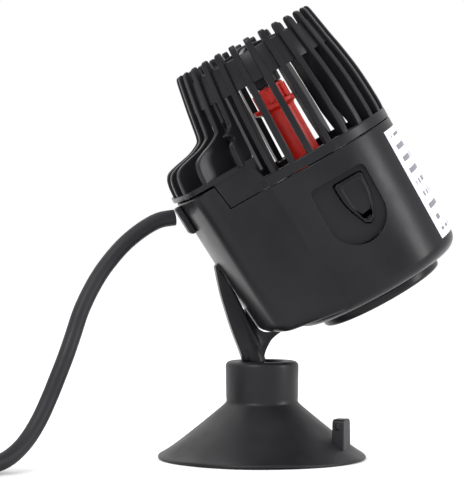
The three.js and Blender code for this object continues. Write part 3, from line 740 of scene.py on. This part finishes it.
def pump_arm():
    """Arm from the coil box down to the ball: a thick beam, a thin web and a round neck."""
    front = [(-41.9, -14), (-44.3, -21.4), (-45.6, -26.7), (-47.1, -33.8), (-48.2, -41), (-48.9, -45)]
    back = [(-42.6, -45.8), (-41.6, -41), (-41, -34), (-40.4, -24), (-39.5, -14)]
    beam = fin(smooth_line(front, 4) + smooth_line(back, 4), 2.6)
    beam_piece = bevelled(solid("arm_beam", beam), 0.9, 4, 60)
    edge = smooth_line([(-42.4, -46.4), (-41.2, -45.2), (-39.7, -44.1), (-37.2, -42.8), (-33, -42.2)], 4)
    web_outline = edge + [(-33.5, -40.5), (-36.5, -34), (-40, -30), (-44, -38)]
    web = bevelled(solid("arm_web", fin(web_outline, 1.9)), 0.5, 3, 60)
    neck_profile = [(0, 5.9), (NECK_R - 0.5, 6.0), (NECK_R, 6.5), (NECK_R, 11.4), (NECK_R - 0.7, 12.6), (0, 13)]
    neck = solid("neck", lathe(neck_profile, 48), matrix=NECK)
    pin = solid("neck_pin", lathe([(0, -0.9), (PIN_R, -0.9), (PIN_R, 8), (0, 8)], 40), matrix=NECK)
    fuse(beam_piece, web, neck, pin)
    clearance = solid("clearance", coil_box(BOX_TOP, -0.35, 0.8, -0.35))
    return shade(carve(beam_piece, clearance), 38)


# ---------- housing ----------

BODY_R = 28.8
BODY_WALL = 2.2
BODY_BOTTOM = -45.3
SEAM = 0.15
BOX_APEX = -41.5
BOX_APEX_W = -3
BOX_DRAFT = 0.055
BOX_FACE_R = 75
BOX_HALF = 22
BOX_CORNER_R = 5
BOX_ROOT = -8
BOX_TOP = 8.2
BOX_SPLAY = math.radians(8)
BOX_SPLAY_LENGTH = 48
REAR_FILLET = 3.4
STEP_U = -31.5
FLOOR_SLOPE = 0.229
FLOOR_W = -40.5
FLOOR_U = -37
RECESS_HALF = 9.4
RECESS_TOP = -7
RECESS_BOTTOM = -29
RECESS_FLOOR = 26.2
BUTTON_OFFSET = 2.9
BUTTON_TOP = -9.2


def box_apex(w):
    """Where the box reaches furthest from the rotor at height w."""
    return BOX_APEX - BOX_DRAFT * (w - BOX_APEX_W)


def box_outline(w, inset=0.0):
    """Outline of the coil box at height w, pulled in by inset."""
    corner_steps, face_steps = 12, 10
    splay = BOX_SPLAY * min(max(BOX_TOP - w, 0), BOX_SPLAY_LENGTH) / BOX_SPLAY_LENGTH
    face_u = box_apex(w) + BOX_FACE_R
    corner_v = BOX_HALF - BOX_CORNER_R
    corner_u = face_u - math.sqrt((BOX_FACE_R - BOX_CORNER_R) ** 2 - corner_v**2)
    lean = math.atan2(corner_v, face_u - corner_u)
    corner = []
    for k in range(corner_steps + 1):
        turn = (math.pi / 2 - splay) + (lean - math.pi / 2 + splay) * k / corner_steps
        radius = BOX_CORNER_R - inset
        corner.append((corner_u - radius * math.cos(turn), corner_v + radius * math.sin(turn)))
    face = []
    for k in range(face_steps - 1, -1, -1):
        turn = lean * k / face_steps
        radius = BOX_FACE_R - inset
        face.append((face_u - radius * math.cos(turn), radius * math.sin(turn)))
    side_u, side_v = corner[0]
    root = (BOX_ROOT, side_v + (BOX_ROOT - side_u) * math.tan(splay))
    half = [root, *corner, *face]
    return [(u, -v) for u, v in half] + half[:-1][::-1]


def box_floor(u):
    return max(FLOOR_W - FLOOR_SLOPE * (u - FLOOR_U), BODY_BOTTOM)


def coil_box(top, inset, top_round, floor_lift=0.0):
    """The coil box as one shape, with its top and rear edges rounded."""

    def at(w, grow):
        return [(u, v, w) for u, v in box_outline(w, inset + grow)]

    def rear(lift, grow):
        return [(u, v, box_floor(u) + floor_lift + lift) for u, v in box_outline(FLOOR_W, inset + grow)]

    sections = []
    for turn in quarter(4):
        sections.append(at(top - top_round * (1 - math.cos(turn)), top_round * (1 - math.sin(turn))))
    sections += [at(-4, 0), at(-16, 0), at(-28, 0)]
    for turn in quarter(6):
        sections.append(rear(REAR_FILLET * (1 - math.sin(turn)), REAR_FILLET * (1 - math.cos(turn))))
    return skin(sections)


def body_cylinder(radius, low, high, fillet, facets=160, top_round=0.0):
    corner = arc(radius - fillet, low + fillet, fillet, -90, 0, 10)
    top = arc(radius - top_round, high - top_round, top_round, 0, 90, 4) if top_round else [(radius, high)]
    return lathe([(0, low), *corner, *top, (0, high)], facets)


def cage_side(gap):
    """Everything on the cage side of the slanted step in the seam."""
    slant = 1.5
    return fin([(STEP_U + gap, gap), (STEP_U - slant + gap, BOX_TOP + 2), (70, BOX_TOP + 2), (70, gap)], 60)


def recess_outline():
    """The hollow round a button: a half round below and two rounded corners above."""
    half, corner = RECESS_HALF, 2
    low = arc(0, RECESS_BOTTOM + half, half, 180, 360, 28)
    top = RECESS_TOP - corner
    return low + arc(half - corner, top, corner, 0, 90, 5) + arc(corner - half, top, corner, 90, 180, 5)


def near_side(outline, start, stop, mirror=False):
    """An outline in (u, w) extruded outwards through the near wall, or through the far one."""
    side = 1 if mirror else -1
    return skin([[(u, side * d, w) for u, w in outline] for d in (start, stop)])


def button_outline(inset=0.0):
    """Shield shape of the release button, pulled in by inset."""
    half = 4.7 - inset
    low = BUTTON_TOP - 15 + inset
    top = BUTTON_TOP - inset
    side = [(-half + 0.05, top - 2.5), (-half + 0.35, top - 6), (-half + 1.3, top - 9.6), (-1.5, low + 0.9)]
    left = smooth_line(side, 5)
    shape = left + [(0, low)] + [(-x, z) for x, z in left[::-1]]
    shape += arc(half - 1, top - 1, 1, 0, 90, 5)[1:] + arc(-half + 1, top - 1, 1, 90, 180, 5)[:-1]
    return [(x + BUTTON_OFFSET, z) for x, z in shape]


def housing():
    """Round shell joined to the coil box, hollow, with a pocket and a slot for each button."""
    body = solid("housing_shell", body_cylinder(BODY_R, BODY_BOTTOM, -SEAM, 4.5, top_round=0.35))
    fuse(body, solid("box", coil_box(BOX_TOP, 0, 0.8)))
    carve(body, solid("step", cage_side(-SEAM)))
    inner = BODY_R - BODY_WALL
    carve(body, solid("room", body_cylinder(inner, BODY_BOTTOM + 2.5, 5, 2.5, 96)))
    box_room = solid("box_room", coil_box(BOX_TOP - 2.4, BODY_WALL, 0.5, 2.5))
    carve(box_room, solid("keep", box_shape((STEP_U - BODY_WALL, 20), (-60, 60), (-2.4, 20))))
    carve(body, box_room)
    for mirror in (False, True):
        padded = [(u * 1.22, w * 1.03 + 1) for u, w in recess_outline()]
        boss = solid("boss", near_side(padded, RECESS_FLOOR - 2, BODY_R - 1, mirror))
        limit = solid("limit", body_cylinder(BODY_R - 1, -40, -SEAM, 0.5, 96))
        combine(boss, [limit], "INTERSECT")
        fuse(body, boss)
    for mirror in (False, True):
        carve(body, solid("pocket", near_side(recess_outline(), RECESS_FLOOR, BODY_R + 5, mirror)))
        carve(body, solid("slot", near_side(button_outline(-0.35), 18, BODY_R + 5, mirror)))
    carve(body, solid("gland_hole", box_shape((BOX_APEX - 3, BOX_APEX + 4), (-2.3, 2.3), (1.5, 6.3))))
    return shade(body, 30)


def rear_cap():
    """Round cap under the motor with a raised rim and a shallow dished middle."""
    top, low, radius = BODY_BOTTOM - 0.3, -48.6, 20.3
    profile = [(0, low + 1), (15.6, low + 1), (16.4, low + 0.75), (17.2, low)]
    profile += arc(radius - 1.1, low + 1.1, 1.1, -90, 0, 6)
    profile += [(radius, top - 0.5), (radius - 0.4, top), (0, top)]
    return shade(solid("rear_disc", lathe(profile, 120)), 30)


def release_button(mirror):
    """Shield-shaped button with a raised border and a flange behind the wall."""
    face = near_side(button_outline(), RECESS_FLOOR - 2.6, RECESS_FLOOR + 1.1, mirror)
    flange = near_side(button_outline(-0.9), RECESS_FLOOR - 3.3, RECESS_FLOOR - 2.4, mirror)
    raised = near_side(button_outline(0.75), RECESS_FLOOR + 0.6, RECESS_FLOOR + 1.5, mirror)
    dish = near_side(button_outline(1.6), RECESS_FLOOR, RECESS_FLOOR + 2, mirror)
    border = solid("border", raised)
    carve(border, solid("dish", dish))
    name = "button_far_shield" if mirror else "button_near_shield"
    body = solid(name, face)
    fuse(body, border, solid("flange", flange))
    return bevelled(body, 0.22, 3, 40)


def rating_label():
    """Thin film wrapped round the side away from the coil box, with its own flat map."""
    inner, thick, low, high, half = BODY_R + 0.02, 0.18, -40.2, -3.1, 42.5
    steps, rows = 40, 12
    verts, faces, spots = [], [], []
    for layer in (inner, inner + thick):
        for row in range(rows + 1):
            for k in range(steps + 1):
                turn = math.radians(-half + 2 * half * k / steps)
                w = high + (low - high) * row / rows
                verts.append((layer * math.cos(turn), layer * math.sin(turn), w))
                spots.append((k / steps, row / rows))
    count = (rows + 1) * (steps + 1)
    for row in range(rows):
        for k in range(steps):
            a = row * (steps + 1) + k
            quad = [a, a + 1, a + steps + 2, a + steps + 1]
            faces += [quad[::-1], [count + q for q in quad]]
    rim = list(range(steps + 1))
    rim += [row * (steps + 1) + steps for row in range(1, rows + 1)]
    rim += [rows * (steps + 1) + k for k in range(steps - 1, -1, -1)]
    rim += [row * (steps + 1) for row in range(rows - 1, 0, -1)]
    for a, b in zip(rim, rim[1:] + rim[:1]):
        faces.append([a, b, count + b, count + a])
    film = solid("label_film", (verts, faces))
    layer = film.data.uv_layers.new(name="film")
    for loop in film.data.loops:
        layer.data[loop.index].uv = spots[loop.vertex_index]
    return shade(film, 40)


def cord_gland():
    """Tapered tongue on the outer face of the coil box that the lead comes out of."""
    top, low = box_apex(7), box_apex(-2)
    slant = box_apex(-1) - 2.1
    corners = [(top - 0.05, 7.4), (top - 2, 7.4), (slant, -1.2), (low - 1.4, -2.2), (low - 0.05, -2.2)]
    outline = rounded(corners, [0, 0.7, 0.7, 0.7, 0], 4)
    return bevelled(solid("gland_tongue", fin(outline, 2.6)), 0.5, 3, 60)


# ---------- cage ----------

RIBS = 28
RIB_T = 2.0
RIB_EXTRA_DEPTH = 2.3
RIM_TOP = 3.3
DUCT_LOW = 29.6
DUCT_TOP = 38.8
LEDGE_LOW = 8.7
LEDGE_TOP = 10.2
ROOF_HALF_TURN = 45.2
HUB_R = 3
SPOKES = 5
HOOK_HALF = 4.4
CAGE_BORE_R = BODY_R - 2.6
ROOF_REACH_W = 10


def box_reach(turn, w):
    """Distance from the rotor axis to the coil box, in a direction in degrees from the -u axis."""
    du, dv = -math.cos(math.radians(turn)), -math.sin(math.radians(turn))
    outline = box_outline(w)
    for (u0, v0), (u1, v1) in zip(outline, outline[1:]):
        det = du * (v1 - v0) - dv * (u1 - u0)
        if abs(det) < 1e-12:
            continue
        along = (du * -v0 - dv * -u0) / det
        reach = (u0 * (v1 - v0) - v0 * (u1 - u0)) / det
        if -1e-9 <= along <= 1 + 1e-9 and reach > 0:
            return reach
    return BODY_R


def roof_reach(from_box):
    return max(box_reach(from_box, ROOF_REACH_W), BODY_R + 4)


def roof_edge(reach, inset=0.0):
    """Rib edge over the coil box, from the cage out along the roof and down to the ledge."""
    out = reach - inset
    points = [
        (26.9 - inset, 23.6), (27.5 - inset * 0.8, 21.9 - inset * 0.5), (29.2, 20.8 - inset),
        (32, 19.7 - inset), (out - 3.6, 18 - inset), (out - 1.3, 16.4 - inset), (out - 0.35, 13.6),
        (out, LEDGE_LOW + 0.6),
    ]
    return smooth_line([p for p in points if p[0] <= out + 1e-6], 4)


def rib(turn):
    """One rib, turn in degrees about the rotor axis from +u, so the coil box is at 180.

    The ribs away from the box reach further in than the CAD's, which closes the view between them.
    """
    from_box = abs(turn % 360 - 180)
    tip = [
        (25.6, 31.6), (24.3, 38.6), (23.75, 41.2), (23.3, 42.1), (22.6, 42.4), (22, 42.1), (21.75, 41.3),
        (21.95, 38.2),
    ]
    deeper = RIB_EXTRA_DEPTH * min(max(0.3 + 2 * math.cos(math.radians(turn)), 0), 1)
    inside = [(23.7 - deeper, DUCT_LOW), (25.3 - deeper, 12), (26.2, 1)]
    edge = smooth_line([(27.8, 1), (BODY_R, 3.6), (28.75, 9), (28.1, 17.5), (26.9, 25.2), (25.6, 31.6)], 4)[:-1]
    if from_box < ROOF_HALF_TURN:
        edge = [(26.2, LEDGE_LOW + 0.6)] + roof_edge(roof_reach(from_box))[::-1]
        inside = inside[:2]
    outline = edge + smooth_line(tip[:4], 2) + tip[4:] + inside
    return turned(fin(outline, RIB_T / 2), turn)


def roof():
    """Closed roof and walls over the coil box, from the sections with the smallest point count."""
    skin_t, inset, steps = 1.4, 1.1, 32
    sections = []
    for k in range(steps + 1):
        turn = ROOF_HALF_TURN * (2 * k / steps - 1)
        reach = roof_reach(abs(turn))
        outer = roof_edge(reach, inset)
        inner = [(min(r, reach - inset - skin_t), w) for r, w in roof_edge(reach, inset + skin_t)]
        count = min(len(outer), len(inner))
        loop = outer[:count] + inner[:count][::-1]
        c, s = math.cos(math.radians(turn)), math.sin(math.radians(turn))
        sections.append([(-r * c, -r * s, w) for r, w in loop])
    size = min(len(section) for section in sections)
    return skin([section for section in sections if len(section) == size])


def cage_bore(low):
    return solid("bore", lathe([(0, low), (CAGE_BORE_R, low), (CAGE_BORE_R, 20), (0, 20)], 96))


def cage_base():
    """Rim, the ledge over the coil box and the skirt beside the step of the seam."""
    rim_top = arc(BODY_R - 0.5, RIM_TOP - 0.5, 0.5, 0, 90, 5)
    profile = [(CAGE_BORE_R, SEAM), (BODY_R, SEAM), *rim_top, (CAGE_BORE_R, RIM_TOP)]
    rim = solid("cage_base", lathe(profile, 160, True))
    ledge = solid("ledge", plate(box_outline(LEDGE_TOP, -0.6), LEDGE_LOW, LEDGE_TOP))
    carve(ledge, cage_bore(0))
    carve(ledge, solid("front", box_shape((-20, 60), (-60, 60), (0, 20))))
    skirt = solid("skirt", plate(box_outline(4), SEAM, LEDGE_TOP))
    combine(skirt, [solid("side", cage_side(SEAM))], "INTERSECT")
    carve(skirt, cage_bore(-5))
    carve(skirt, solid("front", box_shape((-18, 60), (-60, 60), (-5, 20))))
    fuse(rim, ledge, skirt)
    return bevelled(rim, 0.3, 3, 40)


def duct():
    """Closed band round the mouth of the cage."""
    top = arc(22.7, DUCT_TOP - 0.7, 0.7, 20, 160, 6)
    return lathe([(23.5, DUCT_LOW), (24.9, DUCT_LOW), (24.95, DUCT_LOW + 0.4), *top], 160, True)


def hub_and_spokes():
    low, inner, under = 37.6, 2.2, 40.1
    outside = [(HUB_R, low), (HUB_R, 40.2), (HUB_R - 0.25, 40.75), (HUB_R - 0.8, 41), (0, 41)]
    cap = lathe([(inner, low), *outside, (0, under), (inner, under)], 64, True)
    bar = fin(rounded([(2.4, 38.4), (2.4, 40.4), (22.6, 38.5), (22.9, 36.9)], 0.3, 3), 0.8)
    return [cap] + [turned(bar, 360 * (k + 0.5) / SPOKES) for k in range(SPOKES)]


def hook(mirror):
    """Leg inside the housing that holds the cage behind a button."""
    outer = RECESS_FLOOR - 5.3
    inner = outer - 1.4
    rim = BODY_R - 2
    outline = [(inner, -16), (outer, -16), (outer, 1.5), (rim, 1.5), (rim, 3), (inner, 3)]
    shape = turned(fin(outline, HOOK_HALF), -90)
    return flipped(shape) if mirror else shape


def cage():
    ribs = [rib(360 * (k + 0.5) / RIBS + 90) for k in range(RIBS)]
    grille = bevelled(solid("cage_ribs", *ribs), 0.42, 3, 50)
    ring = shade(solid("cage_duct", duct()), 40)
    spokes = bevelled(solid("cage_spokes", *hub_and_spokes()), 0.25, 2, 50)
    hooks = bevelled(solid("cage_hooks", hook(False), hook(True)), 0.3, 2, 50)
    roof_piece = shade(solid("cage_roof", roof()), 50)
    return [cage_base(), grille, ring, spokes, hooks, roof_piece]


# ---------- rotor ----------

ROTOR_HUB_R = 5.2
BORE_R = 1.3
BLADES = 3
BLADE_R = 19.3
BLADE_LEVEL = 33
BLADE_TURN = math.degrees(0.5)


def rotor_carrier():
    """Red sleeve over the magnet's spindle, with its collar and a stepped head."""
    flange, hub = 7.6, ROTOR_HUB_R
    profile = [(BORE_R, -28.6), (2.7, -28.6), (2.7, -8.4), (6.2, -8.4), (6.2, -6.8), (hub + 0.3, -6.2)]
    profile += [(hub, 17.6), (hub + 0.3, 18.6), (flange - 0.5, 19.3), (flange, 19.6), (flange, 20.7)]
    profile += [(flange - 0.2, 20.9), (hub + 0.2, 20.9), (hub, 21.2), (hub, 26), (5, 26.2), (BORE_R, 26.2)]
    sleeve = lathe(profile, 72, True)
    keys = [turned(box_shape((4.6, 5.9), (-0.7, 0.7), (21, 25.4)), 60 * k + 12) for k in range(6)]
    return bevelled(solid("rotor_sleeve", sleeve, *keys), 0.15, 2, 40)


def blade():
    """One blade as sections at growing radius, twisted and thinning towards the tip."""
    points = 20
    # Radius, pitch in degrees, half width and thickness.
    stations = [
        (3.5, 48, 5.6, 1.5), (8, 42, 6.6, 1.3), (13, 36, 7.6, 1.1), (16.9, 31, 8, 0.9), (BLADE_R, 28, 6.4, 0.6),
    ]
    sections = []
    for radius, pitch, half, thick in smooth_line(stations, 4):
        c, s = math.cos(math.radians(pitch)), math.sin(math.radians(pitch))
        reach, lift = c * half * 0.62, s * half * 0.62
        ring = []
        for k in range(points):
            turn = 2 * math.pi * k / points
            a, b = math.cos(turn), 0.5 * math.sin(turn)
            y = reach * a - s * thick * b
            ring.append((math.sqrt(max(radius**2 - y**2, 1)), y, BLADE_LEVEL + lift * a + c * thick * b))
        sections.append(ring)
    return skin(sections)


def propeller():
    nose = arc(ROTOR_HUB_R - 1.2, 34.8, 1.2, 0, 90, 6)
    hub = lathe([(BORE_R, 26.5), (5.1, 26.5), (5.4, 26.8), (5.4, 33), *nose, (BORE_R, 36)], 72, True)
    blades = [turned(blade(), 360 * k / BLADES + BLADE_TURN) for k in range(BLADES)]
    return shade(solid("propeller_blades", hub, *blades), 40)


# ---------- assembly ----------

finish(joint_ball(), BLACK_FINE, "ball", "black_plastic", "ball")
finish(pump_arm(), BLACK, "head", "black_plastic", "ball_arm")
finish(housing(), BLACK, "head", "black_plastic", "housing")
finish(rear_cap(), BLACK, "head", "black_plastic", "rear_cap")
finish(rating_label(), FILM, "head", "label_film", "rating_label")
finish(cord_gland(), RUBBER, "head", "black_rubber", "cord_gland")
finish(release_button(False), BLACK_FINE, "button_near", "black_plastic", "release_button_near")
finish(release_button(True), BLACK_FINE, "button_far", "black_plastic", "release_button_far")
for part in cage():
    finish(part, BLACK, "cage", "black_plastic", "cage")
finish(rotor_carrier(), RED, "rotor", "red_plastic", "rotor_carrier")
finish(propeller(), BLACK_FINE, "rotor", "black_plastic", "propeller")

CARRIED = {
    "socket_liner": BLACK_FINE,
    "motor_cover": BLACK,
    "stator_core": CORE,
    "coil_bobbin_far": NYLON,
    "coil_bobbin_near": NYLON,
    "coil_winding_far": COPPER,
    "coil_winding_near": COPPER,
    "potting_resin": RESIN,
    "rear_shaft_mount": RUBBER,
    "rotor_shaft": CERAMIC,
    "thrust_washer_rear": CERAMIC,
    "rotor_magnet": MAGNET,
    "thrust_washer_front": CERAMIC,
    "front_shaft_mount": RUBBER,
}
for node_name, node_material in CARRIED.items():
    carried(node_name, node_material)

# ---------- stage ----------


def stage_floor():
    half = 4.0
    corners = [(-half, -half, 0), (half, -half, 0), (half, half, 0), (-half, half, 0)]
    floor = bpy.data.meshes.new("floor")
    floor.from_pydata(corners, [], [(0, 1, 2, 3)])
    made = bpy.data.objects.new("floor", floor)
    bpy.context.scene.collection.objects.link(made)
    paper = Shader("pale floor", 0.7)
    paper.color((0.9, 0.9, 0.9), (0.93, 0.93, 0.93), 3)
    floor.materials.append(paper.material)


def area_light(name, place, aim, size, power):
    data = bpy.data.lights.new(name, "AREA")
    data.shape = "RECTANGLE"
    data.size, data.size_y = size
    data.energy = power
    light = bpy.data.objects.new(name, data)
    light.location = place
    light.rotation_euler = (Vector(aim) - Vector(place)).to_track_quat("-Z", "Y").to_euler()
    bpy.context.scene.collection.objects.link(light)


def overhead_light():
    data = bpy.data.lights.new("overhead", "SUN")
    data.energy = 1.0
    data.angle = math.radians(80)
    light = bpy.data.objects.new("overhead", data)
    light.rotation_euler = (math.radians(-18), math.radians(-12), 0)
    bpy.context.scene.collection.objects.link(light)


def studio():
    """A white world, a soft light from each side and a wide one from above."""
    scene = bpy.context.scene
    scene.view_settings.view_transform = "Standard"
    scene.world = scene.world or bpy.data.worlds.new("studio")
    scene.world.use_nodes = True
    background = scene.world.node_tree.nodes["Background"]
    background.inputs["Color"].default_value = (1, 1, 1, 1)
    background.inputs["Strength"].default_value = 1.0
    area_light("key", (-0.5, -0.6, 0.7), (0, 0, 0.07), (0.35, 0.35), 5)
    area_light("right", (0.7, -0.35, 0.35), (0, 0, 0.09), (0.2, 0.5), 4)
    overhead_light()


stage_floor()
studio()
